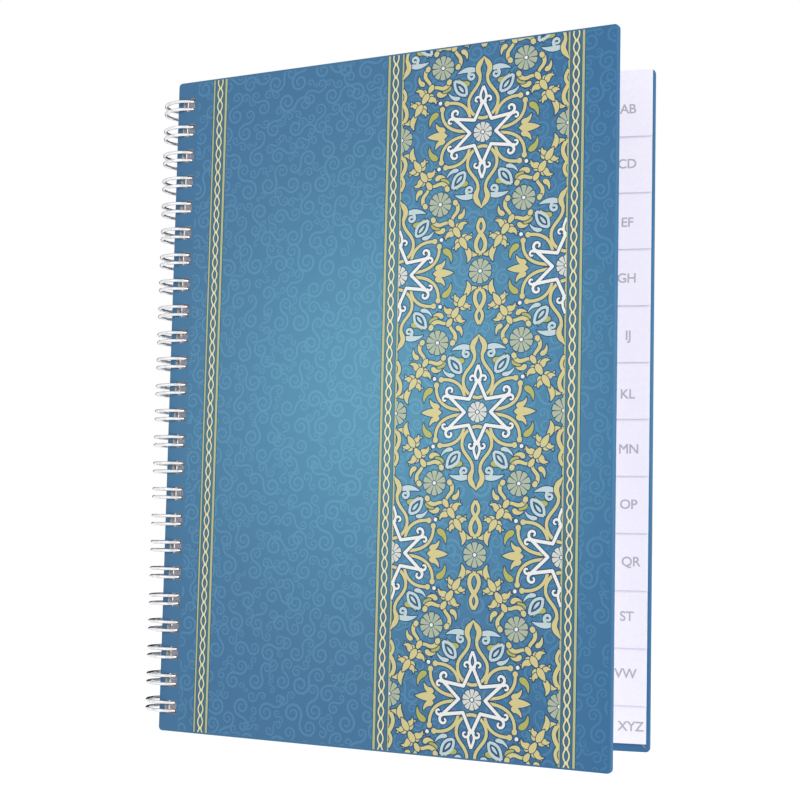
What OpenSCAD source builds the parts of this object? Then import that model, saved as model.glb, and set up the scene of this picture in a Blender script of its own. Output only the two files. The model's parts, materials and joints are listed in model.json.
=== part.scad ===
// Wire-bound A to Z index book: two boards wrapped in printed paper, step-cut index leaves,
// ruled leaves and one twin-loop wire. It stands on the bottom edges of its covers, front cover ajar.
// Covers and leaves turn about the upright axis of the wire loops. Lengths are in millimetres.

/* [Covers] */
// Height of both covers, along the wire
cover_height = 210; // [120:1:300]
// Width of both covers, from the spine edge to the fore-edge
cover_width = 153; // [100:1:220]
// Thickness of the board inside each cover
board_thickness = 1.9; // [1.2:0.1:3]
// Thickness of the printed paper wrapped round each board
wrap_thickness = 0.15; // [0.1:0.01:0.3]
// Width of the wrap's turn-in on the inside of each cover
turn_in = 14; // [9:0.5:20]
// Thickness of the endpaper glued inside each cover
endpaper_thickness = 0.15; // [0.1:0.01:0.3]
// Strip of the turn-in left bare along the head, foot and fore-edge of the endpaper
endpaper_inset = 4; // [2:0.5:7]
// Strip of the turn-in left bare between the spine edge and the endpaper
endpaper_spine_inset = 1; // [0.6:0.1:1.4]
// Radius of the covers' rounded corners
corner_radius = 1.5; // [1:0.5:6]
// Gap between the two covers' spine edges when the book lies flat open
spine_gap = 0.5; // [0.3:0.1:1]
// Angle by which the front cover stands open
open_angle = 13.8; // [0:0.1:60]

/* [Leaves] */
// Height of the leaves
leaf_height = 205; // [110:0.5:298]
// Width of the leaves, from the spine edge to the fore-edge
leaf_width = 151.8; // [95:0.1:152]
// Number of ruled leaves behind each index leaf
ruled_leaves = 4; // [1:1:6]
// Thickness of one ruled leaf
ruled_thickness = 0.11; // [0.08:0.01:0.2]
// Thickness of one index leaf
index_thickness = 0.16; // [0.1:0.01:0.3]
// Air between neighbouring leaves
leaf_gap = 0.02; // [0.01:0.01:0.05]
// Distance from the leaves' spine edge to the middle of their holes
leaf_hole_inset = 5.6; // [3.6:0.1:5.8]
// How far the front and back leaves are pushed apart sideways on the wire
leaf_skew = 1.1; // [0:0.1:1.6]

/* [Index tabs] */
// Height of the first tab, from the head of the leaves
first_tab = 20.6; // [15:0.1:25]
// Height of the last tab, at the foot of the leaves
last_tab = 11.4; // [8:0.1:20]
// Depth of the step cut into the fore-edge
tab_depth = 14; // [8:0.5:20]

/* [Wire] */
// Diameter of the wire
wire_diameter = 1; // [0.7:0.1:1.3]
// Least length of cover left whole between its ends and the end holes
loop_margin = 4; // [3:0.5:12]
// Distance from one twin loop to the next
loop_pitch = 8.4667; // [7.6:0.0001:8.6]
// Distance between the two wires of a twin loop
twin_spacing = 2.6; // [2.2:0.1:3]
// Distance from the loops' middle to where the wire comes out of a closed cover's outer face
wire_reach = 2.6; // [2.2:0.1:4]
// Bend radius of the links between the loops
link_radius = 1; // [0.8:0.1:1.2]
// Angle of the open seam where the loops' tips meet the links
seam_angle = 24; // [22:1:30]

/* [Holes] */
// Clearance round the wire across a hole
hole_clearance = 0.2; // [0.15:0.05:0.4]
// Clearance above and below the twin wires in a hole
hole_end_clearance = 0.3; // [0.2:0.05:0.5]
// Least strip of paper between a leaf's end and its end hole
hole_bridge = 2; // [1:0.5:4]

/* [Hidden] */
$fn = 64;
INDEX = ["ab", "cd", "ef", "gh", "ij", "kl", "mn", "op", "qr", "st", "uvw", "xyz"];

cover_blue = [0.28, 0.49, 0.66];
board_grey = [0.72, 0.7, 0.66];
paper_white = [0.93, 0.93, 0.97];
wire_silver = [0.8, 0.81, 0.83];

// Leaf block, front to back along +Y, centred on the wire's axis
section_count = len(INDEX);
ruled_pitch = ruled_thickness + leaf_gap;
section_thickness = index_thickness + ruled_leaves * ruled_pitch;
section_pitch = section_thickness + leaf_gap;
block_thickness = section_count * section_pitch - leaf_gap;
function section_front(index) = -block_thickness / 2 + index * section_pitch;

// Covers, measured from the wire's axis to the faces of a closed cover
cover_thickness = 2 * wrap_thickness + board_thickness + endpaper_thickness;
cover_inner = block_thickness / 2 + leaf_gap;
cover_outer = cover_inner + cover_thickness;
cover_spine = spine_gap / 2;

// Wire loops: just wide enough to come out of a closed cover at the stated reach
wire_radius = wire_diameter / 2;
loop_inner = sqrt(pow(cover_outer, 2) + pow(wire_reach, 2));
loop_radius = loop_inner + wire_radius;
loop_outer = loop_radius + wire_radius;
// Bends swell a hair where the wire is squeezed, and the runs between them end inside the bends
bend_swell = 0.02;
bend_tuck = 0.06;
seam_start = 90 + seam_angle / 2;
seam_end = 90 - seam_angle / 2;

// Holes: one rectangle for each twin loop, wide enough for the wire's slant through a cover
hole_near = wire_reach - hole_clearance;
hole_far = sqrt(pow(loop_outer, 2) - pow(cover_inner, 2)) + hole_clearance;
hole_width = hole_far - hole_near;
hole_height = twin_spacing + wire_diameter + 2 * hole_end_clearance;

// As many loops as the covers' height has room for at the stated pitch, centred on it
loop_count = 1 + floor((cover_height - 2 * loop_margin - hole_height) / loop_pitch);
loop_places = [for (k = [0 : loop_count - 1]) cover_height / 2 + ((loop_count - 1) / 2 - k) * loop_pitch];

// Sideways place of a section's holes: in line at the fore-edge, as far as the wire lets the leaf slide
function section_back(index) = section_front(index) + section_thickness;
function nearest_to_axis(index) = section_front(index) * section_back(index) < 0
    ? 0
    : min(abs(section_front(index)), abs(section_back(index)));
function farthest_from_axis(index) = max(abs(section_front(index)), abs(section_back(index)));
function wire_far_side(index) = sqrt(pow(loop_outer, 2) - pow(nearest_to_axis(index), 2));
function wire_near_side(index) = sqrt(pow(loop_inner, 2) - pow(farthest_from_axis(index), 2));
block_hole_middle = (wire_far_side(0) + wire_near_side(0)) / 2;
function lined_up(index) = block_hole_middle + leaf_skew * (0.5 - index / (section_count - 1));
function lowest_slide(index) = wire_far_side(index) + hole_clearance - hole_width / 2;
function highest_slide(index) = wire_near_side(index) - hole_clearance + hole_width / 2;
function leaf_hole_middle(index) = min(highest_slide(index), max(lowest_slide(index), lined_up(index)));
function leaf_spine(index) = leaf_hole_middle(index) - leaf_hole_inset;
function leaf_fore_edge(index) = leaf_spine(index) + leaf_width;

leaf_foot = (cover_height - leaf_height) / 2;
leaf_head = leaf_foot + leaf_height;
leaf_hole_limit = leaf_height / 2 - hole_bridge - hole_height / 2;
leaf_hole_places = [for (z = loop_places) if (abs(z - cover_height / 2) < leaf_hole_limit) z];
// The tabs between the first and the last share the rest of the leaves' height
tab_height = (leaf_height - first_tab - last_tab) / (section_count - 2);
function tab_foot(index) = index == section_count - 1
    ? leaf_foot
    : leaf_head - first_tab - index * tab_height;

// Place of the origin: the middle of the standing book's footprint, on the surface it stands on
cover_fore_edge = cover_spine + cover_width;
right_end = max(cover_fore_edge, leaf_fore_edge(0));
front_end = cover_fore_edge * sin(open_angle) + cover_outer * cos(open_angle);
origin = [(right_end - loop_outer) / 2, (loop_outer - front_end) / 2, 0];

// Stands a flat outline up as a sheet that faces the front, between two depths along +Y
module sheet(front, thickness) {
    translate([0, front + thickness, 0])
        rotate([90, 0, 0])
            linear_extrude(thickness)
                children();
}

// Rectangle with round corners, inset by the same margin from all sides of a cover
module cover_outline(margin) {
    low_x = cover_spine + margin;
    width = cover_width - 2 * margin;
    height = cover_height - 2 * margin;
    radius = max(corner_radius - margin, 0.1);
    translate([low_x, margin + radius])
        square([width, height - 2 * radius]);
    translate([low_x + radius, margin])
        square([width - 2 * radius, height]);
    for (x = [low_x + radius, low_x + width - radius], y = [margin + radius, margin + height - radius])
        translate([x, y])
            circle(radius);
}

// The row of holes punched through a cover
module punch(front, thickness) {
    for (z = loop_places)
        translate([hole_near, front, z - hole_height / 2])
            cube([hole_width, thickness, hole_height]);
}

// Board of the front cover, closed
module cover_board() {
    front = wrap_thickness - cover_outer;
    color(board_grey)
        difference() {
            sheet(front, board_thickness)
                cover_outline(wrap_thickness);
            punch(front, board_thickness);
        }
}

// Printed paper of the front cover, closed: over the face, round all edges and turned in
module cover_wrap() {
    depth = board_thickness + 2 * wrap_thickness;
    color(cover_blue)
        difference() {
            sheet(-cover_outer, depth)
                cover_outline(0);
            sheet(wrap_thickness - cover_outer, board_thickness)
                cover_outline(wrap_thickness);
            sheet(wrap_thickness - cover_outer, depth)
                window_outline();
            punch(-cover_outer, depth);
        }
}

// Bare part of the board inside the turn-ins
module window_outline() {
    translate([cover_spine + turn_in, turn_in])
        square([cover_width - 2 * turn_in, cover_height - 2 * turn_in]);
}

// Endpaper of the front cover, closed: laps over the turn-ins and fills the window between them
module cover_endpaper() {
    fill_thickness = endpaper_thickness + wrap_thickness;
    color(paper_white)
        difference() {
            union() {
                sheet(-cover_inner - endpaper_thickness, endpaper_thickness)
                    translate([cover_spine + endpaper_spine_inset, endpaper_inset])
                        square([
                            cover_width - endpaper_spine_inset - endpaper_inset,
                            cover_height - 2 * endpaper_inset
                        ]);
                sheet(-cover_inner - fill_thickness, fill_thickness)
                    window_outline();
            }
            punch(-cover_inner - endpaper_thickness, endpaper_thickness);
        }
}

// One leaf of a section: holes along the spine, full width down to the foot of its own tab
module leaf(index, front, thickness) {
    spine = leaf_spine(index);
    fore = leaf_fore_edge(index);
    outline = index == section_count - 1
        ? [[spine, leaf_foot], [fore, leaf_foot], [fore, leaf_head], [spine, leaf_head]]
        : [
            [spine, leaf_foot],
            [fore - tab_depth, leaf_foot],
            [fore - tab_depth, tab_foot(index)],
            [fore, tab_foot(index)],
            [fore, leaf_head],
            [spine, leaf_head]
        ];
    color(paper_white)
        sheet(front, thickness)
            difference() {
                polygon(outline);
                for (z = leaf_hole_places)
                    translate([leaf_hole_middle(index) - hole_width / 2, z - hole_height / 2])
                        square([hole_width, hole_height]);
            }
}

module index_leaf(index) {
    leaf(index, section_front(index), index_thickness);
}

module ruled_leaf_group(index) {
    for (k = [0 : ruled_leaves - 1])
        leaf(index, section_front(index) + index_thickness + leaf_gap + k * ruled_pitch, ruled_thickness);
}

// One stretch of a loop, from the seam's start round to its end, tucked into the bends it meets
module loop_arc(z) {
    tuck_angle = asin(bend_tuck / loop_radius);
    translate([0, 0, z])
        rotate(seam_start - tuck_angle)
            rotate_extrude(angle = 360 - seam_angle + 2 * tuck_angle)
                translate([loop_radius, 0])
                    circle(wire_radius);
}

// Bend of the wire in the plane that touches the loops at an angle; it bulges towards larger angles
module wire_bend(angle, z, radius, from, sweep) {
    rotate(angle)
        translate([loop_radius, 0, z])
            rotate([0, 90, 0])
                rotate(from)
                    rotate_extrude(angle = sweep)
                        translate([radius, 0])
                            circle(wire_radius + bend_swell);
}

// Link from the lower wire of one loop to the upper wire of the next
module loop_link(z_upper, z_lower) {
    wire_bend(seam_end, z_upper - link_radius, link_radius, 90, 90);
    wire_bend(seam_end, z_lower + link_radius, link_radius, 0, 90);
    rotate(seam_end)
        translate([loop_radius, link_radius, z_lower + link_radius - bend_tuck])
            cylinder(r = wire_radius, h = z_upper - z_lower - 2 * link_radius + 2 * bend_tuck);
}

// One continuous wire: each twin loop turns back at its tip, and links join the loops at the seam
module binding_wire() {
    color(wire_silver)
        union() {
            for (z = loop_places) {
                loop_arc(z + twin_spacing / 2);
                loop_arc(z - twin_spacing / 2);
                wire_bend(seam_start, z, twin_spacing / 2, 180, 180);
            }
            for (k = [0 : loop_count - 2])
                loop_link(loop_places[k] - twin_spacing / 2, loop_places[k + 1] + twin_spacing / 2);
        }
}

// Places: everything moves from the wire's axis to the origin, and the front cover swings open
module placed() {
    translate(-origin)
        children();
}

module front_cover() {
    placed()
        rotate(-open_angle)
            children();
}

module back_cover() {
    placed()
        mirror([0, 1, 0])
            children();
}

front_cover() cover_board();  // front_board
front_cover() cover_wrap();  // front_cover_wrap
front_cover() cover_endpaper();  // front_endpaper
back_cover() cover_board();  // back_board
back_cover() cover_wrap();  // back_cover_wrap
back_cover() cover_endpaper();  // back_endpaper
placed() binding_wire();
for (index = [0 : section_count - 1]) {
    placed() index_leaf(index);
    placed() ruled_leaf_group(index);
}
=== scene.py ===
import json
from math import comb

import bmesh
import bpy
import numpy as np
from mathutils import Matrix, Vector


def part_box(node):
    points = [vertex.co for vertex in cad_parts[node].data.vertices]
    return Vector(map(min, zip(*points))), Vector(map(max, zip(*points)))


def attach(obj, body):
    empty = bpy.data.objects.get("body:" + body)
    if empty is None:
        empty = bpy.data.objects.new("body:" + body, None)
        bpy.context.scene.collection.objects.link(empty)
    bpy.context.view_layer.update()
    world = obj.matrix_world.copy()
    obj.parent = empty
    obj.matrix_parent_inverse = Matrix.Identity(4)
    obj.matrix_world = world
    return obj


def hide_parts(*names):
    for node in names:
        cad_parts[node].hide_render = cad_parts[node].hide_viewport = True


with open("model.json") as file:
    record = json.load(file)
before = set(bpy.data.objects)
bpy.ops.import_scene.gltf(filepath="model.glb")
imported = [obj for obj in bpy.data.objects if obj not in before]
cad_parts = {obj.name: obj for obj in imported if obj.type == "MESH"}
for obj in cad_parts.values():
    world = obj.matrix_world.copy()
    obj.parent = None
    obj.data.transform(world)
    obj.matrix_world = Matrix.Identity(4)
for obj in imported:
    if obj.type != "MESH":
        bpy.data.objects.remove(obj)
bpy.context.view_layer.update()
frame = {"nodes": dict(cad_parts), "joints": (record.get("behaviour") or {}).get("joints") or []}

# Boards: two stiff grey boards, pressed from waste paper and die-cut to the covers' size.
# They are hidden by the wrap and show only in the walls of the punched slots.
MM = 0.001


def node_material(name, rough, specular):
    """A new material with its Principled shader; rough and specular are set on the shader itself."""
    made = bpy.data.materials.new(name)
    made.use_nodes = True
    shader = made.node_tree.nodes["Principled BSDF"]
    shader.inputs["Roughness"].default_value = rough
    shader.inputs["Specular IOR Level"].default_value = specular
    return made, made.node_tree.nodes, made.node_tree.links, shader


def linear(colour):
    """A colour given as screen values from 0 to 255, as the linear values that shaders take."""
    part = np.array(colour) / 255.0
    value = np.where(part <= 0.04045, part / 12.92, ((part + 0.055) / 1.055) ** 2.4)
    return (*value.tolist(), 1.0)


def speckled(nodes, links, place, scale, dark, light, detail=4.0):
    """Colour that wanders between two tones with a noise of the given scale, in cells per metre."""
    noise = nodes.new("ShaderNodeTexNoise")
    noise.inputs["Scale"].default_value = scale
    noise.inputs["Detail"].default_value = detail
    links.new(place, noise.inputs["Vector"])
    ramp = nodes.new("ShaderNodeValToRGB")
    ramp.color_ramp.elements[0].position = 0.3
    ramp.color_ramp.elements[0].color = linear(dark)
    ramp.color_ramp.elements[1].position = 0.7
    ramp.color_ramp.elements[1].color = linear(light)
    links.new(noise.outputs["Fac"], ramp.inputs["Fac"])
    return noise.outputs["Fac"], ramp.outputs["Color"]


def bumped(nodes, links, shader, height, strength, distance):
    """Relief from a height value, laid on the shader's normal."""
    bump = nodes.new("ShaderNodeBump")
    bump.inputs["Strength"].default_value = strength
    bump.inputs["Distance"].default_value = distance
    links.new(height, bump.inputs["Height"])
    links.new(bump.outputs["Normal"], shader.inputs["Normal"])


def object_place(nodes):
    """Place in the frame, in metres, because every piece sits at the origin."""
    return nodes.new("ShaderNodeTexCoord").outputs["Object"]


def flecked_material(name, rough, specular, cells, tones, relief=None):
    """Colour that wanders between two tones; relief gives the strength and depth of its bump."""
    made, nodes, links, shader = node_material(name, rough, specular)
    fleck, tone = speckled(nodes, links, object_place(nodes), cells, *tones)
    links.new(tone, shader.inputs["Base Color"])
    if relief:
        bumped(nodes, links, shader, fleck, *relief)
    return made


def dress(node, material):
    """Puts a material on a node that keeps its own shape."""
    held = frame["nodes"][node].data.materials
    held.clear()
    held.append(material)


board_tones = (176, 172, 164), (214, 211, 204)
board_grey = flecked_material("board_grey", 0.9, 0.2, 1800.0, board_tones, (0.4, 0.0001))
dress("front_board", board_grey)
dress("back_board", board_grey)

# Wraps: one sheet of printed, satin-laminated paper round each board, glued over the outer face and
# all four edges and turned in on the inside, where its corners are cut to a mitre. A row of slots
# for the wire is punched through the finished cover.
spine_low, spine_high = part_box("back_cover_wrap")
axis_x, axis_y, _ = frame["joints"][0]["pos_m"]
ajar = np.radians(frame["joints"][-1]["range_deg"][1])
cover_width = (spine_high.x - spine_low.x) / MM
cover_height = (spine_high.z - spine_low.z) / MM
cover_depth = (spine_high.y - spine_low.y) / MM
spine_offset = (spine_low.x - axis_x) / MM
outer_offset = (spine_high.y - axis_y) / MM
paper = 0.15
edge_round = 0.48
edge_smooth = 35
corner_round = 1.3
turn_in = 14.0
face_ring = 40.0
slot_near = 2.15
slot_width = 4.669
slot_height = 4.2
loop_count = 24
loop_pitch = 8.4667
loop_heights = cover_height / 2 + ((loop_count - 1) / 2 - np.arange(loop_count)) * loop_pitch
mitre_gap = 0.28
mitre_start = 1.1
overshoot = 1.0


def on_cover(local, front):
    """Cover millimetres (from the spine edge, up, and in from the outer face) to metres in the frame.

    The back cover lies square to the frame; the front cover is its mirror image, swung ajar about
    the wire's axis.
    """
    along = spine_offset + local[:, 0]
    out = outer_offset - local[:, 2]
    turn = -ajar if front else 0.0
    side = -out if front else out
    x = along * np.cos(turn) - side * np.sin(turn)
    y = along * np.sin(turn) + side * np.cos(turn)
    return np.column_stack([x * MM + axis_x, y * MM + axis_y, local[:, 1] * MM])


def put_mesh(name, vertices, faces):
    """A new object at the origin, with the points and faces of its mesh as they are given."""
    mesh = bpy.data.meshes.new(name)
    mesh.from_pydata(vertices, [], faces)
    made = bpy.data.objects.new(name, mesh)
    bpy.context.scene.collection.objects.link(made)
    return made


def tidy_shell(mesh, merge):
    """Merges doubles and turns every face outwards."""
    work = bmesh.new()
    work.from_mesh(mesh)
    bmesh.ops.remove_doubles(work, verts=work.verts, dist=merge)
    bmesh.ops.dissolve_degenerate(work, edges=work.edges, dist=merge)
    bmesh.ops.recalc_face_normals(work, faces=work.faces)
    work.to_mesh(mesh)
    work.free()


def ring_faces(rows, columns):
    """Quads of a grid of points stored row by row, where each row closes round on itself."""
    here = np.arange(rows - 1)[:, None] * columns
    point = np.arange(columns)[None, :]
    after = (point + 1) % columns
    corners = [here + point, here + after, here + columns + after, here + columns + point]
    return np.stack(corners, -1).reshape(-1, 4)


def capped_faces(rows, columns):
    """The same quads, with a face that closes the first row and one that closes the last."""
    faces = ring_faces(rows, columns).tolist()
    faces.append(list(range(columns)))
    faces.append(list(range((rows - 1) * columns, rows * columns)))
    return faces


def outline_rings(inset):
    """The cover's outline at each inset: straight sides and quarter rounds, which shrink to a point.

    Row by row for each inset: points round the outline as (from the spine edge, up).
    """
    inset = np.asarray(inset, float)[:, None]
    radius = np.maximum(corner_round - inset, 0.0)
    centre = np.maximum(inset, corner_round)
    share = np.linspace(0, 1, 9)[None, :]
    sweep = np.radians(90) * share
    rings = []
    for k in range(4):
        cx = cover_width - centre if k in (0, 3) else centre
        cy = cover_height - centre if k in (0, 1) else centre
        angle = sweep + np.radians(90) * k
        rings.append(np.stack([cx + radius * np.cos(angle), cy + radius * np.sin(angle)], -1))
    sides = []
    for k in range(4):
        start = rings[k][:, -1:]
        end = rings[(k + 1) % 4][:, :1]
        step = np.linspace(0, 1, 9)[1:-1][None, :, None]
        sides += [rings[k], start * (1 - step) + end * step]
    return np.concatenate(sides, 1)


def wrap_shell(name):
    """Section of the wrap carried round the outline of the cover, in cover millimetres.

    The section runs from the outer face over a rounded edge, down the cover's thickness, over the
    second rounded edge and along the turn-in, then back inside at one paper's thickness.
    """
    bend = np.radians(np.linspace(0, 90, 7))
    closing = edge_round * (1 - np.sin(bend))
    opening = edge_round * (1 - np.cos(bend))
    section = np.vstack([
        [[face_ring, 0.0]],
        np.column_stack([closing, opening]),
        np.column_stack([opening, cover_depth - closing]),
        [[turn_in, cover_depth], [turn_in, cover_depth - paper]],
        [[paper, cover_depth - paper], [paper, paper], [face_ring, paper]],
    ])
    rings = outline_rings(section[:, 0])
    rows, columns = rings.shape[:2]
    depth = np.broadcast_to(section[:, 1][:, None, None], (rows, columns, 1))
    points = np.concatenate([rings, depth], -1).reshape(-1, 3)
    shell = put_mesh(name, points, capped_faces(rows, columns))
    tidy_shell(shell.data, 1e-5)
    return shell


def bars(starts, ends, wide, low, high):
    """Straight bars between pairs of points on the cover, each a box from one depth to another."""
    along = ends - starts
    along = along / np.linalg.norm(along, axis=1, keepdims=True)
    across = np.column_stack([-along[:, 1], along[:, 0]]) * wide / 2
    flat = np.stack([starts + across, starts - across, ends - across, ends + across], 1)
    count = len(starts)
    below = np.concatenate([flat, np.full((count, 4, 1), low)], -1)
    above = np.concatenate([flat, np.full((count, 4, 1), high)], -1)
    points = np.concatenate([below, above], 1).reshape(-1, 3)
    box = np.array([[0, 1, 2, 3], [7, 6, 5, 4], [0, 4, 5, 1], [1, 5, 6, 2], [2, 6, 7, 3], [3, 7, 4, 0]])
    faces = (box[None] + 8 * np.arange(count)[:, None, None]).reshape(-1, 4)
    return points, faces


def punch(shell):
    """Cuts the slots through the cover and the mitre gaps through the turn-ins' corners."""
    middle = slot_near + slot_width / 2
    low = np.column_stack([np.full(loop_count, middle), loop_heights - slot_height / 2])
    high = low + [0, slot_height]
    below = cover_depth + overshoot
    slots = bars(low, high, slot_width, -overshoot, below)
    corner_x = np.array([0.0, cover_width, cover_width, 0.0])
    corner_y = np.array([0.0, 0.0, cover_height, cover_height])
    inwards = np.array([[1, 1], [-1, 1], [-1, -1], [1, -1]])
    corners = np.column_stack([corner_x, corner_y])
    gap_starts = corners + inwards * mitre_start
    gap_ends = corners + inwards * (turn_in + overshoot)
    gaps = bars(gap_starts, gap_ends, mitre_gap, cover_depth - paper, below)
    for points, faces in (slots, gaps):
        tool = put_mesh("punch", points, faces)
        tidy_shell(tool.data, 1e-5)
        cut = shell.modifiers.new("punch", "BOOLEAN")
        cut.operation = "DIFFERENCE"
        cut.solver = "EXACT"
        cut.object = tool
        view = bpy.context.evaluated_depsgraph_get()
        whole = bpy.data.meshes.new_from_object(shell.evaluated_get(view))
        shell.modifiers.clear()
        shell.data = whole
        bpy.data.objects.remove(tool)


def settle_on_cover(made, front, smooth_angle):
    """Keeps each point's cover millimetres as an attribute, then moves the mesh to its place."""
    mesh = made.data
    local = np.empty(len(mesh.vertices) * 3, np.float32)
    mesh.vertices.foreach_get("co", local)
    kept = mesh.attributes.new("cover_mm", "FLOAT_VECTOR", "POINT")
    kept.data.foreach_set("vector", local)
    mesh.vertices.foreach_set("co", on_cover(local.reshape(-1, 3).astype(float), front).ravel())
    if front:
        mesh.flip_normals()
    if smooth_angle:
        mesh.polygons.foreach_set("use_smooth", np.ones(len(mesh.polygons), bool))
        mesh.set_sharp_from_angle(angle=np.radians(smooth_angle))
    mesh.update()


glow_centre = (80.0, 108.0)
glow_reach = 61.0


def feed(links, entry, term):
    """Puts a term into a socket: a link, or a constant that is the same all over."""
    if isinstance(term, bpy.types.NodeSocket):
        links.new(term, entry)
    else:
        entry.default_value = term


def reckon(nodes, links, operation, *terms):
    """The result of a sum on some terms, each a link or a number."""
    step = nodes.new("ShaderNodeMath")
    step.operation = operation
    for entry, term in zip(step.inputs, terms):
        feed(links, entry, term)
    return step.outputs["Value"]


def spread(nodes, links, value, low, high):
    """A value from zero to one, spread evenly from low to high."""
    scale = nodes.new("ShaderNodeMapRange")
    scale.inputs["To Min"].default_value = low
    scale.inputs["To Max"].default_value = high
    links.new(value, scale.inputs["Value"])
    return scale.outputs["Result"]


def glow(nodes, links):
    """How near a point of the print is to the pale middle: a bell curve of the distance on the cover."""
    place = nodes.new("ShaderNodeAttribute")
    place.attribute_name = "cover_mm"
    flat = nodes.new("ShaderNodeVectorMath")
    flat.operation = "MULTIPLY"
    flat.inputs[1].default_value = (1.0, 1.0, 0.0)
    links.new(place.outputs["Vector"], flat.inputs[0])
    away = nodes.new("ShaderNodeVectorMath")
    away.operation = "DISTANCE"
    away.inputs[1].default_value = (*glow_centre, 0.0)
    links.new(flat.outputs["Vector"], away.inputs[0])
    share = reckon(nodes, links, "DIVIDE", away.outputs["Value"], glow_reach)
    square = reckon(nodes, links, "POWER", share, 2.0)
    fall = reckon(nodes, links, "MULTIPLY", square, -1.0)
    return place.outputs["Vector"], reckon(nodes, links, "EXPONENT", fall)


def mix_colour(nodes, links, share, first, second):
    """Colour between two others; each is a link or screen values."""
    mix = nodes.new("ShaderNodeMix")
    mix.data_type = "RGBA"
    links.new(share, mix.inputs["Factor"])
    for socket, colour in (("A", first), ("B", second)):
        entry = next(s for s in mix.inputs if s.name == socket and s.type == "RGBA")
        feed(links, entry, linear(colour) if isinstance(colour, tuple) else colour)
    return next(s for s in mix.outputs if s.type == "RGBA")


# Painted shade: across this span of the cover, the print's far colour darkens towards the fore-edge.
shade_from = 105.0
shade_to = 150.0
grain_scale = 2.6
grain_detail = 6.0
satin = (0.44, 0.56)


def print_material(name, far, near, grain=0.05, edge=None):
    """Printed, laminated paper: a ground that pales towards the glow, with a fine grain of ink.

    Where an edge colour is given, the far colour darkens to it on the way to the fore-edge: painted
    shade, in place of light that falls off towards that edge.
    """
    made, nodes, links, shader = node_material(name, 0.5, 0.16)
    place, bell = glow(nodes, links)
    # Painted shade: the far colour darkens towards the fore-edge, in place of light falling off there.
    if edge:
        apart = nodes.new("ShaderNodeSeparateXYZ")
        links.new(place, apart.inputs["Vector"])
        outward = nodes.new("ShaderNodeMapRange")
        outward.inputs["From Min"].default_value = shade_from
        outward.inputs["From Max"].default_value = shade_to
        links.new(apart.outputs["X"], outward.inputs["Value"])
        far = mix_colour(nodes, links, outward.outputs["Result"], far, edge)
    ground = mix_colour(nodes, links, bell, far, near)
    noise = nodes.new("ShaderNodeTexNoise")
    noise.inputs["Scale"].default_value = grain_scale
    noise.inputs["Detail"].default_value = grain_detail
    links.new(place, noise.inputs["Vector"])
    speck = noise.outputs["Fac"]
    inked = nodes.new("ShaderNodeVectorMath")
    inked.operation = "SCALE"
    links.new(ground, inked.inputs[0])
    links.new(spread(nodes, links, speck, 1.0 - grain, 1.0 + grain), inked.inputs["Scale"])
    links.new(inked.outputs["Vector"], shader.inputs["Base Color"])
    links.new(spread(nodes, links, speck, *satin), shader.inputs["Roughness"])
    bumped(nodes, links, shader, speck, 0.05, 0.0001)
    return made


# The edge colour is painted shade: the ground darkens towards the fore-edge.
ground_blue = print_material("ground_blue", (66, 111, 150), (92, 150, 179), edge=(56, 105, 147))

for side in ("back", "front"):
    wrap = wrap_shell(side + "_printed_wrap")
    punch(wrap)
    settle_on_cover(wrap, side == "front", edge_smooth)
    wrap.data.materials.append(ground_blue)
    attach(wrap, side + "_cover")
    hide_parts(side + "_cover_wrap")

# Endpapers: a plain white sheet pasted inside each cover. It hides the board and the raw edges of
# the turn-ins, and leaves a narrow coloured border along the head, foot and fore-edge.
endpaper_tones = (232, 231, 238), (244, 243, 248)
endpaper_white = flecked_material("endpaper_white", 0.75, 0.25, 900.0, endpaper_tones, (0.15, 0.00005))
dress("front_endpaper", endpaper_white)
dress("back_endpaper", endpaper_white)

# Binding wire: one steel wire, nickel-plated, bent into a comb of double loops and closed round the
# covers and leaves. Each loop turns back at its tip, and short links at the seam join the loops.
wire_radius = 0.54
wire_sides = 14
loop_radius = 7.5565
twin_half = 1.3
link_radius = 1.0
seam_low = np.radians(78)
seam_high = np.radians(102)
loop_points = 73
tip_points = 15
link_points = 8
lean_pivot = 3.0
end_loop_sag = 0.15


def wire_path():
    """Middle line of the whole wire: for each loop, down one wire, round the tip, back on the other.

    Angles are taken round the loops' axis; the tip and the links lie in the plane that touches the
    loop at the seam. Each loop leans a trifle of its own, and the top one sags at its far side.
    Returns the points and the outward direction at each, in millimetres.
    """
    full = seam_low + 2 * np.pi
    down = np.linspace(full, seam_high, loop_points)
    tip = np.radians(np.linspace(0, 180, tip_points))[1:-1]
    bend = np.radians(np.linspace(0, 90, link_points))
    gap = loop_pitch - 2 * twin_half
    link_side = link_radius * np.concatenate([np.sin(bend), np.cos(bend)])[1:-1]
    link_drop = np.concatenate([
        link_radius * (1 - np.cos(bend)),
        gap - link_radius * (1 - np.sin(bend)),
    ])[1:-1]
    still = np.zeros(loop_points)
    angle, aside, height = np.hstack([
        (down, still, still + twin_half),
        (np.full(len(tip), seam_high), -twin_half * np.sin(tip), twin_half * np.cos(tip)),
        (down[::-1], still, still - twin_half),
        (np.full(len(link_side), full), link_side, -twin_half - link_drop),
    ])
    loop = np.repeat(np.arange(loop_count), len(angle))
    angle = np.tile(angle, loop_count)
    aside = np.tile(aside, loop_count)
    height = np.tile(height, loop_count) + loop_heights[loop]
    outward = np.column_stack([np.cos(angle), np.sin(angle), np.zeros(len(angle))])
    forward = np.column_stack([-np.sin(angle), np.cos(angle), np.zeros(len(angle))])
    path = outward * loop_radius + forward * aside[:, None]
    path[:, 2] = height
    lean = np.sin(loop * 2.4) * 0.012 + np.sin(loop * 0.7 + 1.0) * 0.01
    path[:, 2] += lean * (path[:, 0] - lean_pivot)
    left = (loop_radius - path[:, 0]) / (2 * loop_radius)
    path[:, 2] -= np.where(loop == 0, end_loop_sag, 0.0) * left ** 2
    last = len(angle) - len(link_side)
    return path[:last], outward[:last]


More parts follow.
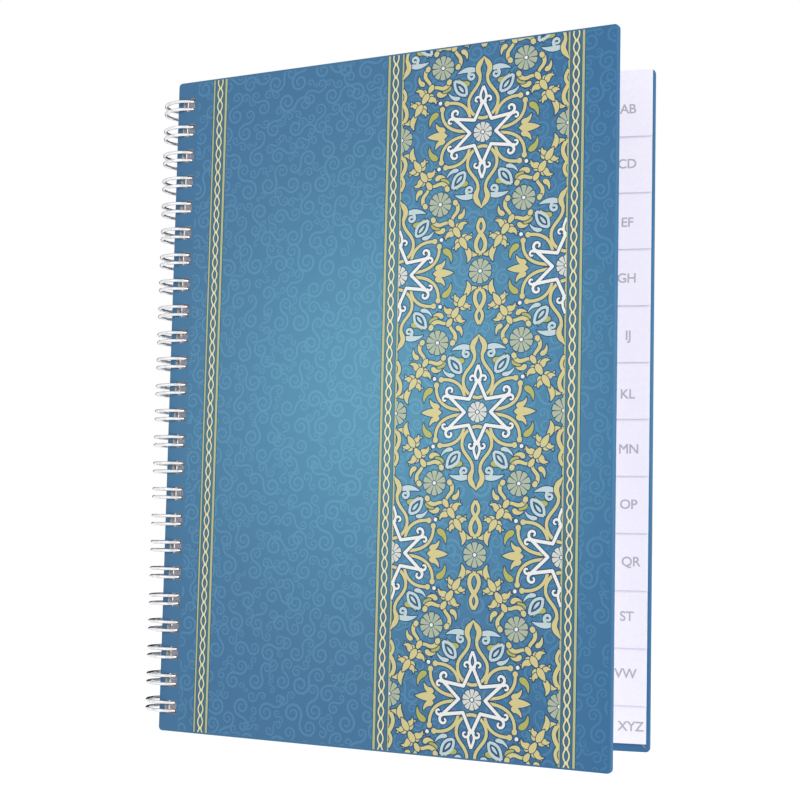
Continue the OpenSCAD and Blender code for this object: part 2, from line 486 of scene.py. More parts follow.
def round_wire(path, outward, radius, sides):
    """Circle of the wire carried along its middle line, with domed ends."""
    ahead = np.gradient(path, axis=0)
    ahead /= np.linalg.norm(ahead, axis=1, keepdims=True)
    across = np.cross(ahead, outward)
    across /= np.linalg.norm(across, axis=1, keepdims=True)
    square = np.cross(across, ahead)
    turn = np.linspace(0, 2 * np.pi, sides, endpoint=False)
    dome = np.array([1.0, 0.8, 0.45])
    push = np.sqrt(1 - dome ** 2)[:, None] * radius
    middle = np.vstack([path[0] - ahead[0] * push[::-1], path, path[-1] + ahead[-1] * push])
    size = np.concatenate([dome[::-1], np.ones(len(path)), dome]) * radius
    ends = ((len(dome), len(dome)), (0, 0))
    across = np.pad(across, ends, "edge")
    square = np.pad(square, ends, "edge")
    spoke = across[:, None] * np.cos(turn)[None, :, None] + square[:, None] * np.sin(turn)[None, :, None]
    points = (middle[:, None] + spoke * size[:, None, None]).reshape(-1, 3)
    return points, capped_faces(len(middle), sides)


points, faces = round_wire(*wire_path(), wire_radius, wire_sides)
wire = put_mesh("twin_loop_wire", points * MM + [axis_x, axis_y, 0.0], faces)
tidy_shell(wire.data, 1e-8)
wire.data.polygons.foreach_set("use_smooth", np.ones(len(wire.data.polygons), bool))
plated_wire, nodes, links, shader = node_material("plated_wire", 0.2, 0.5)
shader.inputs["Metallic"].default_value = 1.0
wire_tones = (214, 215, 218), (240, 240, 242)
scuff, tone = speckled(nodes, links, object_place(nodes), 700.0, *wire_tones)
links.new(tone, shader.inputs["Base Color"])
links.new(spread(nodes, links, scuff, 0.14, 0.28), shader.inputs["Roughness"])
wire.data.materials.append(plated_wire)
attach(wire, "back_cover")
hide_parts("binding_wire")

# Leaves: a step-cut index leaf of stiffer paper opens each letter group, and ruled leaves of
# writing paper follow it. All are cut and punched together and hang loose on the wire.
groups = ["ab", "cd", "ef", "gh", "ij", "kl", "mn", "op", "qr", "st", "uvw", "xyz"]
rule_pitch = 0.007
rule_width = 0.00022
rule_first = 0.012
rule_last = 0.19
rule_inner = 0.012
rule_outer = 0.017
rule_grey = (168, 172, 184)


def leaf_material(name, dark, light, ruled):
    """White writing paper with a faint fibre; ruled leaves carry fine grey lines at an even pitch."""
    made, nodes, links, shader = node_material(name, 0.7, 0.25)
    place = object_place(nodes)
    fibre, tone = speckled(nodes, links, place, 1100.0, dark, light, 6.0)
    if ruled:
        apart = nodes.new("ShaderNodeSeparateXYZ")
        links.new(place, apart.inputs["Vector"])

        def within(value, low, high):
            """One where the value lies from low to high, and zero elsewhere."""
            return reckon(nodes, links, "COMPARE", value, (low + high) / 2, (high - low) / 2)

        fold = reckon(nodes, links, "PINGPONG", apart.outputs["Z"], rule_pitch / 2)
        leaf_low, leaf_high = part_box("ruled_leaves_ab")
        line = within(fold, -rule_width / 2, rule_width / 2)
        for field in (
            within(apart.outputs["Z"], rule_first, rule_last),
            within(apart.outputs["X"], leaf_low.x + rule_inner, leaf_high.x - rule_outer),
        ):
            line = reckon(nodes, links, "MULTIPLY", line, field)
        tone = mix_colour(nodes, links, line, tone, rule_grey)
    links.new(tone, shader.inputs["Base Color"])
    bumped(nodes, links, shader, fibre, 0.12, 0.00005)
    return made


leaf_tones = (237, 235, 247), (241, 239, 250)
index_paper = leaf_material("index_paper", *leaf_tones, ruled=False)
ruled_paper = leaf_material("ruled_paper", *leaf_tones, ruled=True)
for group in groups:
    dress("index_leaf_" + group, index_paper)
    dress("ruled_leaves_" + group, ruled_paper)

# Tab letters: plain grey capitals printed on the step of each index leaf, a little above its foot.
# Each is struck four times a hair apart, which makes it bold.
letter_size = 0.0041
letter_lift = 0.000008
letter_sink = 0.000004
letter_middle = 0.1458 + axis_x
letter_right = 0.1492 + axis_x
letter_weight = 0.00005
letter_spacing = 0.96
last_shift = 0.0022
first_tab = 20.6
tab_height = 17.3
letter_rise = 7.3
last_rise = 3.6
letter_slip = (
    (0.0, -0.2), (-0.2, 0.2), (0.0, -0.5), (-0.2, -0.3), (0.4, -0.5), (0.4, -1.1),
    (0.7, -0.5), (0.8, 0.0), (1.6, 0.0), (0.4, 0.8), (0.0, 0.9), (0.0, 0.2),
)

letter_tones = (168, 167, 177), (184, 183, 192)
letter_grey = flecked_material("letter_grey", 0.6, 0.25, 1500.0, letter_tones)
for number, group in enumerate(groups):
    leaf_low, leaf_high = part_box("index_leaf_" + group)
    last = number == len(groups) - 1
    foot = leaf_high.z - (first_tab + tab_height * number - letter_rise) * MM
    if last:
        foot = leaf_low.z + last_rise * MM
    slip = letter_slip[number]
    foot += slip[1] * MM
    words = bpy.data.curves.new("words_" + group, "FONT")
    words.body = group.upper()
    words.size = letter_size
    words.resolution_u = 4
    words.extrude = letter_sink
    words.space_character = letter_spacing
    drawn = bpy.data.objects.new("words_" + group, words)
    bpy.context.scene.collection.objects.link(drawn)
    view = bpy.context.evaluated_depsgraph_get()
    flat = bpy.data.meshes.new_from_object(drawn.evaluated_get(view))
    bpy.data.objects.remove(drawn)
    spots = np.empty(len(flat.vertices) * 3, np.float32)
    flat.vertices.foreach_get("co", spots)
    spots = spots.reshape(-1, 3)
    wide = np.ptp(spots[:, 0])
    left = letter_middle - wide / 2
    if len(group) == 3:
        left = letter_right - wide + last * last_shift
    left += slip[0] * MM
    sides = [tuple(face.vertices) for face in flat.polygons]
    bpy.data.meshes.remove(flat)
    strikes, struck = [], []
    for turn, (right, up) in enumerate(((-1, -1), (1, -1), (-1, 1), (1, 1))):
        top = leaf_low.y - letter_lift * (1 + turn / 4)
        strikes.append(np.column_stack([
            spots[:, 0] - spots[:, 0].min() + left + right * letter_weight,
            np.where(spots[:, 2] > 0, top, leaf_low.y + letter_sink),
            spots[:, 1] + foot + up * letter_weight,
        ]))
        struck += [tuple(corner + turn * len(spots) for corner in side) for side in sides]
    letters = put_mesh("tab_letters_" + group, np.vstack(strikes), struck)
    tidy_shell(letters.data, 1e-7)
    letters.data.materials.append(letter_grey)
    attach(letters, "section_" + group)

# Scroll print: pale curling tendrils, a shade lighter than the ground, printed all over both covers
# but for the stripes. Each is an S with a coil at both ends, and small ones fill what large ones leave.
ink_step = 0.009
ink_stagger = 0.00035
ink_root = 0.004
print_lean = 0.0025
lean_from = 80.0
lean = Matrix(((1, print_lean, 0, -print_lean * lean_from), (0, 1, 0, 0), (0, 0, 1, 0), (0, 0, 0, 1)))


def stroke(path, half):
    """A line of ink: points along it and half its width at each."""
    path = np.asarray(path, float)
    return np.column_stack([path, np.broadcast_to(half, len(path))])


def ink_edges(line, grow):
    """Left and right edge of a line of ink, offset square to its run and lengthened by the growth."""
    ahead = np.gradient(line[:, :2], axis=0)
    ahead /= np.maximum(np.linalg.norm(ahead, axis=1, keepdims=True), 1e-9)
    aside = np.column_stack([-ahead[:, 1], ahead[:, 0]])
    middle = line[:, :2].copy()
    middle[0] -= ahead[0] * grow
    middle[-1] += ahead[-1] * grow
    half = (line[:, 2] + grow)[:, None]
    return middle + aside * half, middle - aside * half


def free_steps(lowest, highest):
    """For each line, the lowest step that no earlier line whose box meets its own box has taken."""
    steps = np.zeros(len(lowest), int)
    ladder = np.arange(len(lowest) + 1)
    for order in range(1, len(lowest)):
        meets = (lowest[:order] <= highest[order]).all(1) & (highest[:order] >= lowest[order]).all(1)
        steps[order] = np.setdiff1d(ladder, steps[:order][meets])[0]
    return steps


def ink_layer(name, lines, level, window, material, front, grow=0.0, climb=ink_stagger, steps=None):
    """A layer of ink lines: each is a flat bar of its own width carried along its path.

    Lines outside the window are left out, and lines across its border are cut there. Each lies a few
    steps higher than the level, so that crossing lines never share a face. The whole print leans a
    trifle to the right, as the pasted sheet does.
    """
    low_x, high_x, low_y, high_y = window
    reach = np.array([line[:, 2].max() + grow for line in lines])[:, None]
    lowest = np.array([line[:, :2].min(0) for line in lines]) - reach
    highest = np.array([line[:, :2].max(0) for line in lines]) + reach
    if steps is None:
        steps = free_steps(lowest, highest)
    inside = (highest > [low_x, low_y]).all(1) & (lowest < [high_x, high_y]).all(1)
    points, faces, count = [], [], 0
    for order in np.flatnonzero(inside):
        line = lines[order]
        left, right = ink_edges(line, grow)
        rows = len(line)
        under = np.full((rows, 1), ink_root)
        over = np.full((rows, 1), -ink_step * level - climb * steps[order])
        corners = ((left, under), (left, over), (right, over), (right, under))
        points.append(np.stack([np.hstack(corner) for corner in corners], 1).reshape(-1, 3))
        ends = np.array([[0, 1, 2, 3], [4 * rows - 1, 4 * rows - 2, 4 * rows - 3, 4 * rows - 4]])
        faces.append(np.vstack([ring_faces(rows, 4), ends]) + count)
        count += 4 * rows
    made = put_mesh(name, np.vstack(points), np.vstack(faces).tolist())
    work = bmesh.new()
    work.from_mesh(made.data)
    for spot, way in (
        ((low_x, 0, 0), (-1, 0, 0)),
        ((high_x, 0, 0), (1, 0, 0)),
        ((0, low_y, 0), (0, -1, 0)),
        ((0, high_y, 0), (0, 1, 0)),
    ):
        every = work.verts[:] + work.edges[:] + work.faces[:]
        bmesh.ops.bisect_plane(work, geom=every, dist=1e-5, plane_co=spot, plane_no=way, clear_outer=True)
        open_edges = [edge for edge in work.edges if edge.is_boundary]
        bmesh.ops.holes_fill(work, edges=open_edges, sides=0)
    bmesh.ops.transform(work, matrix=lean, verts=work.verts)
    bmesh.ops.recalc_face_normals(work, faces=work.faces)
    work.to_mesh(made.data)
    work.free()
    settle_on_cover(made, front, 0)
    made.data.materials.append(material)
    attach(made, "front_cover" if front else "back_cover")


def bearing(angle):
    """Unit vector at each angle."""
    return np.stack([np.cos(angle), np.sin(angle)], -1)


def coil(middle, radius, start, hand, turns, count):
    """Points of a spiral that winds from its radius in to a fifth of it, evenly in angle."""
    share = np.linspace(0, 1, count)
    reach = radius * (1 - 0.8 * share ** 0.9)
    return middle + bearing(start + hand * 2 * np.pi * turns * share) * reach[:, None]


def stem_of(middle, radius, start, hand, bend, small):
    """Middle and radius of a tendril's stem, the angle of its tip, and the small coil's middle there.

    The stem is an arc that touches the large coil where that begins; the small coil carries its bend on.
    """
    stem_radius = 0.95 * radius
    stem_middle = middle + bearing(start) * (radius + stem_radius)[..., None]
    tip = start + np.pi + hand * bend
    return stem_middle, stem_radius, tip, stem_middle + bearing(tip) * (stem_radius - small)[..., None]


def scroll(middle, radius, start, hand, bend, small):
    """An S-shaped tendril: a large coil, a stem bent the other way, and a small coil at its end."""
    stem_middle, stem_radius, tip, small_middle = stem_of(middle, radius, start, hand, bend, small)
    sweep = start + np.pi + hand * np.linspace(0, bend, 6)[1:-1]
    stem = stem_middle + bearing(sweep) * stem_radius
    large_coil = coil(middle, radius, start, hand, 0.95 + 0.2 * radius, 22)
    small_coil = coil(small_middle, small, tip, hand, 0.8 + 0.24 * small, 14)
    path = np.vstack([small_coil[::-1], stem[::-1], large_coil])
    share = np.linspace(0, 1, len(path))
    thin = np.interp(share, [0, 0.3, 0.5, 0.7, 1], [0.11, 0.22, 0.26, 0.26, 0.14])
    return stroke(path, thin * (0.5 + 0.32 * radius))


def scroll_rounds(middle, radius, start, hand, bend, small):
    """The circles that each of many tendrils fills: its two coils and the middle of its stem."""
    stem_middle, stem_radius, tip, small_middle = stem_of(middle, radius, start, hand, bend, small)
    half_way = stem_middle + bearing(start + np.pi + hand * bend / 2) * stem_radius[:, None]
    return np.stack([
        np.column_stack([middle, radius]),
        np.column_stack([small_middle, small]),
        np.column_stack([half_way, np.full(len(radius), 0.4)]),
    ], 1)


def crowding(rounds, others):
    """How far each tendril's circles reach into others, summed; one that stands clear adds nothing."""
    apart = np.linalg.norm(rounds[:, :, None, :2] - others[None, None, :, :2], axis=-1)
    return np.maximum(rounds[:, :, None, 2] + others[:, 2] + scroll_clear - apart, 0).sum((1, 2))


draw = np.random.RandomState(11)
scroll_gap = np.array([9.0, 8.6])
scroll_rows = 26
scroll_columns = 18
scroll_clear = 0.4
scroll_near = 16.0
scroll_tries = 24
scroll_sizes = (
    ((0.0, 0.0), (2.6, 3.5), 1.8, 9.0),
    ((0.5, 0.5), (1.6, 2.2), 2.6, 3.5),
    ((0.5, 0.0), (1.1, 1.5), 3.2, 1.8),
)
tendrils = []
filled = np.empty((0, 3))
for offset, radii, stray, tightest in scroll_sizes:
    for row in range(scroll_rows):
        for column in range(scroll_columns):
            cell = (np.array([column + 0.5 * (row % 2), row]) + offset) * scroll_gap
            middle = cell + draw.uniform(-stray, stray, (scroll_tries, 2))
            radius = draw.uniform(*radii, scroll_tries)
            start = draw.uniform(0, 2 * np.pi, scroll_tries)
            hand = draw.choice([-1, 1], scroll_tries)
            bend = draw.uniform(1.3, 2.4, scroll_tries)
            small = draw.uniform(0.5, 0.75, scroll_tries) * radius
            rounds = scroll_rounds(middle, radius, start, hand, bend, small)
            close = filled[np.abs(filled[:, :2] - cell).max(1) < scroll_near]
            tight = crowding(rounds, close)
            best = np.argmin(tight)
            if tight[best] > tightest:
                continue
            filled = np.vstack([filled, rounds[best]])
            chosen = (values[best] for values in (middle, radius, start, hand, bend, small))
            tendrils.append(scroll(*chosen))
print_margin = 0.6
scroll_margin = 0.8
slot_margin = 0.9
whole_face = (print_margin, cover_width - print_margin, print_margin, cover_height - print_margin)
clear_face = (
    slot_near + slot_width + slot_margin,
    cover_width - scroll_margin,
    scroll_margin,
    cover_height - scroll_margin,
)
scroll_fields = {
    "front_spine": (clear_face[0], 78.3, *clear_face[2:]),
    "front_band": (84.2, 137.4, *clear_face[2:]),
    "front_edge": (142.9, *clear_face[1:]),
    "back_spine": (clear_face[0], 80.0, *clear_face[2:]),
    "back_edge": (80.0, *clear_face[1:]),
}
# The edge colour is painted shade: the tendrils darken towards the fore-edge.
tendril_blue = print_material("tendril_blue", (78, 127, 164), (102, 162, 189), edge=(66, 119, 160))
for field, window in scroll_fields.items():
    ink_layer(field + "_scroll_print", tendrils, 1, window, tendril_blue, field.startswith("front"))

# Stripes: a dark ribbon between two fine gold lines, with a plaited chain and a knot at each of its
# crossings. One is printed beside the wire on both covers, two more border the front cover's band.
chain_pitch = 3.937
chain_start = 1.9
chain_swing = 0.9
chain_half = 0.235
knot_reach = 0.7
knot_half = 0.27
stripe_outline = 0.2
line_gold = print_material("line_gold", (174, 181, 134), (188, 192, 142), 0.08)
chain_gold = print_material("chain_gold", (222, 215, 166), (232, 227, 180), 0.08)
ribbon_blue = print_material("ribbon_blue", (68, 108, 136), (92, 142, 160))
outline_blue = print_material("outline_blue", (38, 72, 102), (46, 94, 128))


def chain(middle):
    """Two waves that cross at every pitch, as in a plait seen flat."""
    up = np.linspace(0, cover_height, 541)
    wave = np.sin(np.pi * (up - chain_start) / chain_pitch)
    swing = chain_swing * np.sign(wave) * np.abs(wave) ** 0.8
    return [stroke(np.column_stack([middle + side * swing, up]), chain_half) for side in (1, -1)]


def knots(middle):
    """A short pointed bar across each crossing of the chain."""
    across = np.linspace(-1, 1, 5)
    half = knot_half * (1.1 - across ** 2)
    heights = np.arange(chain_start, cover_height, chain_pitch)
    return [
        stroke(np.column_stack([middle + knot_reach * across, np.full(5, height)]), half)
        for height in heights
    ]


def rule(middle, half):
    """A straight line up the whole cover."""
    up = np.linspace(0, cover_height, 9)
    return stroke(np.column_stack([np.full(len(up), middle), up]), half)


chain_middles = {"front": (16.35, 81.1, 140.05), "back": (16.35,)}
lines = {
    "front": [
        rule(14.1, 0.27), rule(18.65, 0.4), rule(78.87, 0.4), rule(83.65, 0.28),
        rule(137.85, 0.28), rule(142.3, 0.38),
    ],
    "back": [rule(14.1, 0.27), rule(18.65, 0.4)],
}
for side, middles in chain_middles.items():
    ahead = side == "front"
    edges = np.array([line[0, 0] for line in lines[side]]).reshape(-1, 2)
    ribbons = [rule((left + right) / 2, (right - left) / 2) for left, right in edges]
    chains = [line for middle in middles for line in chain(middle)]
    crossings = [line for middle in middles for line in knots(middle)]
    for layer, strokes, level, ink, grow in (
        ("_ribbon_print", ribbons, 2.0, ribbon_blue, 0.0),
        ("_line_outline", lines[side], 2.5, outline_blue, stripe_outline),
        ("_line_print", lines[side], 3.2, line_gold, 0.0),
        ("_chain_outline", chains, 2.5, outline_blue, stripe_outline),
        ("_chain_print", chains, 3.2, chain_gold, 0.0),
        ("_chain_knots", crossings, 3.5, chain_gold, 0.0),
    ):
        ink_layer(side + layer, strokes, level, whole_face, ink, ahead, grow)

# Ornament band: star medallions in half drop, joined by leafy garlands and ten-petalled rosettes. It is
# laid out on a plain lattice and printed in gold, green, sage, cream, pale blue and white, each with a
# dark outline.
band_middle = 110.75
band_half = 27.1
lattice_width = 2 * band_half
lattice_height = 82.8
lattice_middle = 100.0
star_rosette = 3.0
star_eye = 0.5
garland_rosette = 3.65
garland_eye = 0.55
petals = 10
round_share = 0.28
point_half = 0.02


def curve(points, share):
    """Places on a smooth curve drawn by control points, each weighted along it as a binomial term."""
    top = len(points) - 1
    weight = [comb(top, k) * share ** k * (1 - share) ** (top - k) for k in range(top + 1)]
    return np.stack(weight, 1) @ np.asarray(points, float)


def strap(points, half, count=13):
    """A line of ink along a smooth curve."""
    return stroke(curve(points, np.linspace(0, 1, count)), half)


def bow(start, end, bulge):
    """Control points of a bow: its ends, and their middle pushed aside by the bulge times their span."""
    start = np.asarray(start, float)
    end = np.asarray(end, float)
    aside = np.array([start[1] - end[1], end[0] - start[0]])
    return [start, (start + end) / 2 + bulge * aside, end]


def leaf(base, tip, bulge, half):
    """A leaf pointed at both ends, fullest near its base, bent sideways by the bulge."""
    share = np.linspace(0, 1, 9)
    half = half * np.sin(np.pi * share ** 0.75) ** 0.85 + point_half
    return stroke(curve(bow(base, tip, bulge), share), half)


def comma(head, tail, bulge, half):
    """A leaf whose head is round, and whose tail tapers to a bent point."""
    share = np.linspace(0, 1, 10) ** 1.5
    swell = np.sqrt(np.clip(1 - (1 - share / round_share) ** 2, 0, 1))
    taper = np.clip(1 - (share - round_share) / (1 - round_share), 0, 1) ** 0.75
    half = half * np.where(share < round_share, swell, taper) + point_half
    return stroke(curve(bow(head, tail, bulge), share), half)


def dot(middle, radius):
    """A round dot: a short line as wide at each place as the circle is."""
    angle = np.linspace(0, np.pi, 7)
    path = np.column_stack([middle[0] - radius * np.cos(angle), np.full(7, middle[1])])
    return stroke(path, radius * np.sin(angle) + 0.005)


def curl(middle, radius, start, turn, half):
    """A spiral that winds in to a fifth of its radius and thins as it goes."""
    share = np.linspace(0, 1, 15)
    reach = radius * (1 - 0.78 * share)
    path = middle + bearing(np.radians(start + turn * share)) * reach[:, None]
    return stroke(path, half * (1 - 0.45 * share))


def petal(angle, inner, outer, half):
    """A rosette's petal: a wedge that widens with the radius and is rounded off at its end."""
    share = np.array([0.0, 0.4, 0.75, 0.9, 0.97, 1.0])
    reach = inner + (outer - inner) * share
    end = np.array([1.0, 1.0, 1.0, 0.95, 0.75, 0.45])
    return stroke(bearing(np.radians(angle)) * reach[:, None], half * reach / outer * end)


def flipped(lines, x=1, y=1):
    """The lines mirrored where x or y is -1."""
    return [line * [x, y, 1] for line in lines]


def both_sides(lines):
    """The lines and their mirror image, left and right."""
    return lines + flipped(lines, x=-1)


def four_ways(lines):
    """The lines in all four quarters."""
    return both_sides(lines + flipped(lines, y=-1))


def turned(lines, degrees):
    """The lines turned about the origin, clockwise where the angle is below zero."""
    c, s = np.cos(np.radians(degrees)), np.sin(np.radians(degrees))
    return [line @ np.array([[c, s, 0], [-s, c, 0], [0, 0, 1]]) for line in lines]


def moved(lines, x, y):
    """The lines shifted by x and y."""
    return [line + [x, y, 0] for line in lines]


def leaf_loop(base, tip, wide, half):
    """The outline of a leaf: two bowed straps from base to tip."""
    base = np.asarray(base, float)
    run = np.asarray(tip, float) - base
    side = np.array([-run[1], run[0]]) / np.hypot(*run) * wide
    return [
        strap([base, base + 0.35 * run + 1.5 * out, base + 0.7 * run + 0.9 * out, tip], half, 9)
        for out in (side, -side)
    ]


def rosette(radius):
    """A ring of equal petals round a small open middle."""
    half = 0.84 * radius * np.tan(np.pi / petals)
    return [petal((k + 0.5) * 360 / petals, 0.16 * radius, radius, half) for k in range(petals)]


medallion_gold = four_ways([
    strap([(0, 4.2), (2.3, 4.2), (4.8, 6.5), (4.8, 9.2)], 0.48),
    strap([(4.8, 9.2), (4.8, 12.2), (1.3, 13.4), (1.2, 16.4)], 0.48),
    strap(
        [(1.2, 16.4), (1.0, 18.0), (3.1, 18.7), (2.0, 20.5), (0.5, 21.4), (0.0, 22.8)],
        np.interp(np.linspace(0, 1, 13), [0, 0.35, 0.7, 1], [0.48, 0.8, 0.8, 0.05]),
    ),
    strap([(4.2, 4.4), (5.0, 8.6), (8.2, 9.9), (11.8, 9.7)], 0.46),
    strap([(13.5, 8.0), (13.9, 3.4), (10.6, 0.9), (5.4, 0.7)], 0.46),
    dot((12.0, 9.7), 0.85),
    dot((13.5, 8.1), 0.85),
    comma((12.3, 1.7), (15.6, 4.0), -0.4, 0.9),
])
medallion_gold += both_sides([leaf((11.6, 0), (18.4, 0), 0.0, 1.2)])
buds = leaf_loop((0, 4.9), (0, 11.2), 1.7, 0.62) + leaf_loop((0, 11.2), (0, 15.6), 1.15, 0.5)
medallion_white = four_ways([
    strap([(0, 9.6), (2.75, 3.8)], 0.48, 3),
    strap([(2.75, 3.8), (9.3, 4.7)], 0.48, 3),
    strap([(9.3, 4.7), (4.2, 0)], 0.48, 3),
    dot((2.75, 3.8), 0.48),
    dot((9.3, 4.7), 0.48),
    strap([(0, 9.0), (1.8, 10.4), (0.6, 12.2), (0, 13.8)], 0.38),
    curl((1.9, 9.7), 1.35, 215, -320, 0.42),
    curl((8.9, 6.3), 1.6, 275, 330, 0.48),
    curl((10.6, 3.9), 1.15, 150, -300, 0.42),
    dot((14.2, 10.0), 0.58),
])
medallion_white += both_sides([dot((4.2, 0), 0.48)])
medallion_pale = four_ways(
    leaf_loop((5.6, 11.6), (9.6, 16.2), 1.65, 0.42)
    + [
        leaf((6.5, 12.6), (8.4, 14.8), 0.0, 0.42),
        comma((7.6, 10.9), (11.6, 12.9), -0.35, 0.62),
        leaf((1.7, 18.5), (8.8, 18.3), 0.22, 0.8),
        curl((3.9, 17.2), 1.3, 65, -420, 0.5),
    ]
)
medallion_green = four_ways([
    comma((4.5, 15.2), (8.4, 16.9), -0.4, 0.85),
    comma((10.6, 14.6), (13.4, 11.5), 0.4, 0.95),
    comma((14.7, 6.9), (17.6, 3.0), 0.4, 0.95),
])
half_garland = [
    strap([(6.6, 0.8), (4.9, 2.0), (6.4, 5.4), (3.2, 6.0)], np.linspace(0.5, 0.75, 9), 9),
    dot((2.6, 5.7), 0.95),
    comma((6.9, 3.4), (5.7, 7.6), -0.4, 0.9),
    comma((8.3, 1.2), (8.9, 5.6), -0.5, 1.1),
    comma((10.6, 1.5), (10.2, 5.6), 0.5, 1.05),
    comma((12.2, 1.2), (13.6, 5.0), -0.5, 1.1),
    comma((14.4, 1.4), (15.0, 4.2), 0.5, 0.95),
    leaf((15.6, 0.3), (20.2, 2.7), -0.5, 1.0),
]
half_garland = [line * [1.0, 0.76, 0.86] for line in half_garland]
garland = half_garland + flipped(half_garland, y=-1) + [
    leaf((5.6, 0), (8.8, 0), 0, 0.85),
    leaf((8.6, 0), (12.6, 0), 0, 1.0),
    leaf((12.4, 0), (16.8, 0), 0, 1.0),
]
slope = np.degrees(np.arctan2(-lattice_height, lattice_width))
quarter = (lattice_width / 4, lattice_height / 4)
mesh_of_garlands = four_ways(
    moved(turned(garland, slope), *quarter) + moved(turned(garland, slope + 180), *quarter)
)
inks = {"garland": [], "gold": [], "white": [], "sage": [], "green": [], "pale": [], "cream": []}
for step in (-2, -1, 0, 1, 2):
    rise = lattice_middle + step * lattice_height
    inks["garland"] += moved(mesh_of_garlands, band_middle, rise)
    spots = [(0, 0), (-lattice_width / 2, lattice_height / 2), (lattice_width / 2, lattice_height / 2)]
    for x, y in spots:
        here = (band_middle + x, rise + y)
        inks["gold"] += moved(medallion_gold, *here)
        inks["white"] += moved(medallion_white + [dot((0, 0), star_eye)], *here)
        inks["pale"] += moved(medallion_pale, *here)
        inks["cream"] += moved(rosette(star_rosette), *here)
        inks["green"] += moved(medallion_green, *here)
    ends = [(0, lattice_height / 2), (-lattice_width / 2, 0), (lattice_width / 2, 0)]
    for x, y in ends:
        inks["gold"] += moved(buds + flipped(buds, y=-1), band_middle + x, rise + y)
    spots = [(x * quarter[0], y * quarter[1]) for x in (-1, 1) for y in (-1, 1)]
    for x, y in spots + ends:
        here = (band_middle + x, rise + y)
        inks["sage"] += moved(rosette(garland_rosette), *here)
        inks["white"] += moved([dot((0, 0), garland_eye)], *here)
band_window = (band_middle - band_half, band_middle + band_half, *whole_face[2:])
band_outline = 0.27
ink_tones = {}
for tone, level, far, near, grain in (
    ("green", 3.0, (172, 172, 96), (184, 186, 110), 0.08),
    ("sage", 3.2, (168, 179, 158), (178, 189, 166), 0.06),
    ("pale", 3.4, (186, 205, 211), (198, 217, 220), 0.05),
    ("cream", 3.6, (206, 208, 202), (218, 219, 212), 0.05),
    ("gold", 5.0, (205, 195, 138), (215, 205, 150), 0.08),
    ("white", 7.0, (230, 231, 228), (238, 239, 236), 0.03),
):
    ink_tones[tone] = print_material("ink_" + tone, far, near, grain)
    strokes = inks[tone]
    ink_layer("band_outline_" + tone, strokes, level - 1, band_window, outline_blue, True, band_outline)
    ink_layer("band_print_" + tone, strokes, level, band_window, ink_tones[tone], True)
garland_level = 5.6
leaf_climb = 0.0008
leaf_cycle = 5 * len(garland)
leaf_steps = np.arange(len(inks["garland"])) % leaf_cycle
for name, material, drop, grow in (
    ("outline", outline_blue, 0.5, 0.25),
    ("print", ink_tones["gold"], 0.0, 0.0),
):
    level = garland_level - drop * leaf_climb / ink_step
    ink_layer(
        "band_" + name + "_garland", inks["garland"], level, band_window, material, True, grow,
        leaf_climb, leaf_steps,
    )

# Studio: a pale floor, a white surround and two soft lamps, one on each side of the camera. Floor and
# surround show white to the camera and in reflections, and light the book evenly from all sides.
floor_reach = 4.0
floor_matte = 0.3
floor_shine = 0.86
floor_bounce = 0.95
surround_bounce = 0.6
quarters = np.array([(-1, -1, 0), (1, -1, 0), (1, 1, 0), (-1, 1, 0)])
floor = put_mesh("floor", quarters * floor_reach, [(0, 1, 2, 3)])


def grey_shader(nodes, kind, level):
    """A shader of one kind, in a grey of the given linear level."""
    made = nodes.new("ShaderNode" + kind)
    made.inputs["Color"].default_value = (level, level, level, 1.0)
    return made


def two_faced(nodes, links, lights, shows, end):
    """Ends in one shader for rays that light the object, and in another for camera and reflections."""
    ray = nodes.new("ShaderNodeLightPath").outputs
    seen = reckon(nodes, links, "MAXIMUM", ray["Is Camera Ray"], ray["Is Glossy Ray"])
    choose = nodes.new("ShaderNodeMixShader")
    links.new(reckon(nodes, links, "MAXIMUM", seen, ray["Is Transmission Ray"]), choose.inputs["Fac"])
    links.new(lights, choose.inputs[1])
    links.new(shows, choose.inputs[2])
    links.new(choose.outputs["Shader"], nodes.new("ShaderNodeOutput" + end).inputs["Surface"])


floor_white = bpy.data.materials.new("floor_white")
floor_white.use_nodes = True
nodes, links = floor_white.node_tree.nodes, floor_white.node_tree.links
nodes.clear()
lit = nodes.new("ShaderNodeAddShader")
links.new(grey_shader(nodes, "BsdfDiffuse", floor_matte).outputs["BSDF"], lit.inputs[0])
links.new(grey_shader(nodes, "Emission", floor_shine).outputs["Emission"], lit.inputs[1])
bounce = grey_shader(nodes, "Emission", floor_bounce).outputs["Emission"]
two_faced(nodes, links, bounce, lit.outputs["Shader"], "Material")
floor.data.materials.append(floor_white)

world = bpy.data.worlds.new("surround")
bpy.context.scene.world = world
world.use_nodes = True
nodes, links = world.node_tree.nodes, world.node_tree.links
nodes.clear()
soft = grey_shader(nodes, "Background", 1.0)
soft.inputs["Strength"].default_value = surround_bounce
white = grey_shader(nodes, "Background", 1.0)
two_faced(nodes, links, soft.outputs["Background"], white.outputs["Background"], "World")


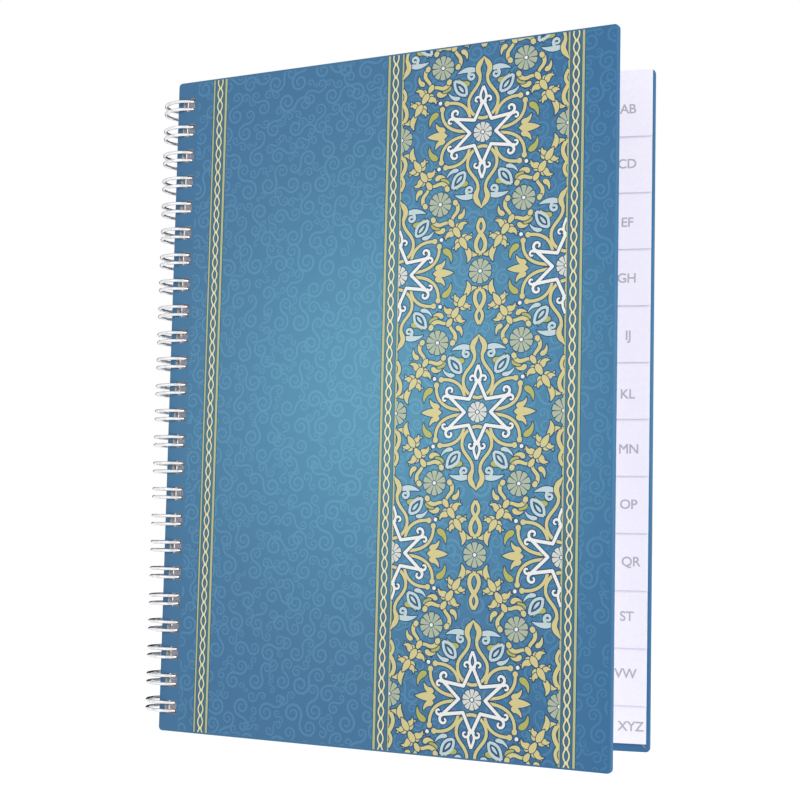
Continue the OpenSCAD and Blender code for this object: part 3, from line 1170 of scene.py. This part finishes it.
def soft_lamp(name, place, aim, power, size):
    """A square lamp of the given power and size, turned from its place to what it aims at."""
    lamp = bpy.data.lights.new(name, "AREA")
    lamp.energy = power
    lamp.size = size
    made = bpy.data.objects.new(name, lamp)
    made.location = place
    made.rotation_euler = (Vector(aim) - Vector(place)).to_track_quat("-Z", "Y").to_euler()
    bpy.context.scene.collection.objects.link(made)


soft_lamp("lamp_left", (-0.9, -1.5, 0.3), (0, 0, 0.1), 3.0, 1.2)
soft_lamp("lamp_right", (1.3, -1.0, 0.75), (0, 0, 0.15), 18.5, 1.0)

# Grey card: a large dark card that stands upright behind the book. Only reflections show it, so it
# gives the bright wire its dark edges and neither lights nor shades the rest.
card_half = 1.2
card_behind = 0.9
card_foot = -0.02
card_head = 1.3
card_corners = [
    (-card_half, card_behind, card_foot),
    (card_half, card_behind, card_foot),
    (card_half, card_behind, card_head),
    (-card_half, card_behind, card_head),
]
card = put_mesh("grey_card", card_corners, [(0, 1, 2, 3)])
card.visible_camera = False
card.visible_diffuse = False
card.visible_transmission = False
card.visible_shadow = False
card_tones = (40, 40, 42), (56, 56, 58)
card.data.materials.append(flecked_material("card_grey", 0.9, 0.1, 30.0, card_tones))

# Camera: a long lens about half a metre from the book, low down and to the right of its middle. It is
# turned a little to the left and up, and rolled by about a degree.
camera_place = Vector((0.12849, -0.46896, 0.06668))
camera_heading = np.radians(14.6)
camera_pitch = np.radians(4.49)
camera_roll = np.radians(1.2)
focal_length = 71.8
nearest_seen = 0.01
lens = bpy.data.cameras.new("camera")
lens.lens = focal_length
lens.sensor_width = 36.0
lens.clip_start = nearest_seen
camera = bpy.data.objects.new("camera", lens)
camera.matrix_world = (
    Matrix.Translation(camera_place)
    @ Matrix.Rotation(camera_heading, 4, "Z")
    @ Matrix.Rotation(np.pi / 2 + camera_pitch, 4, "X")
    @ Matrix.Rotation(camera_roll, 4, "Z")
)
bpy.context.scene.collection.objects.link(camera)
bpy.context.scene.camera = camera
bpy.context.scene.view_settings.view_transform = "Standard"
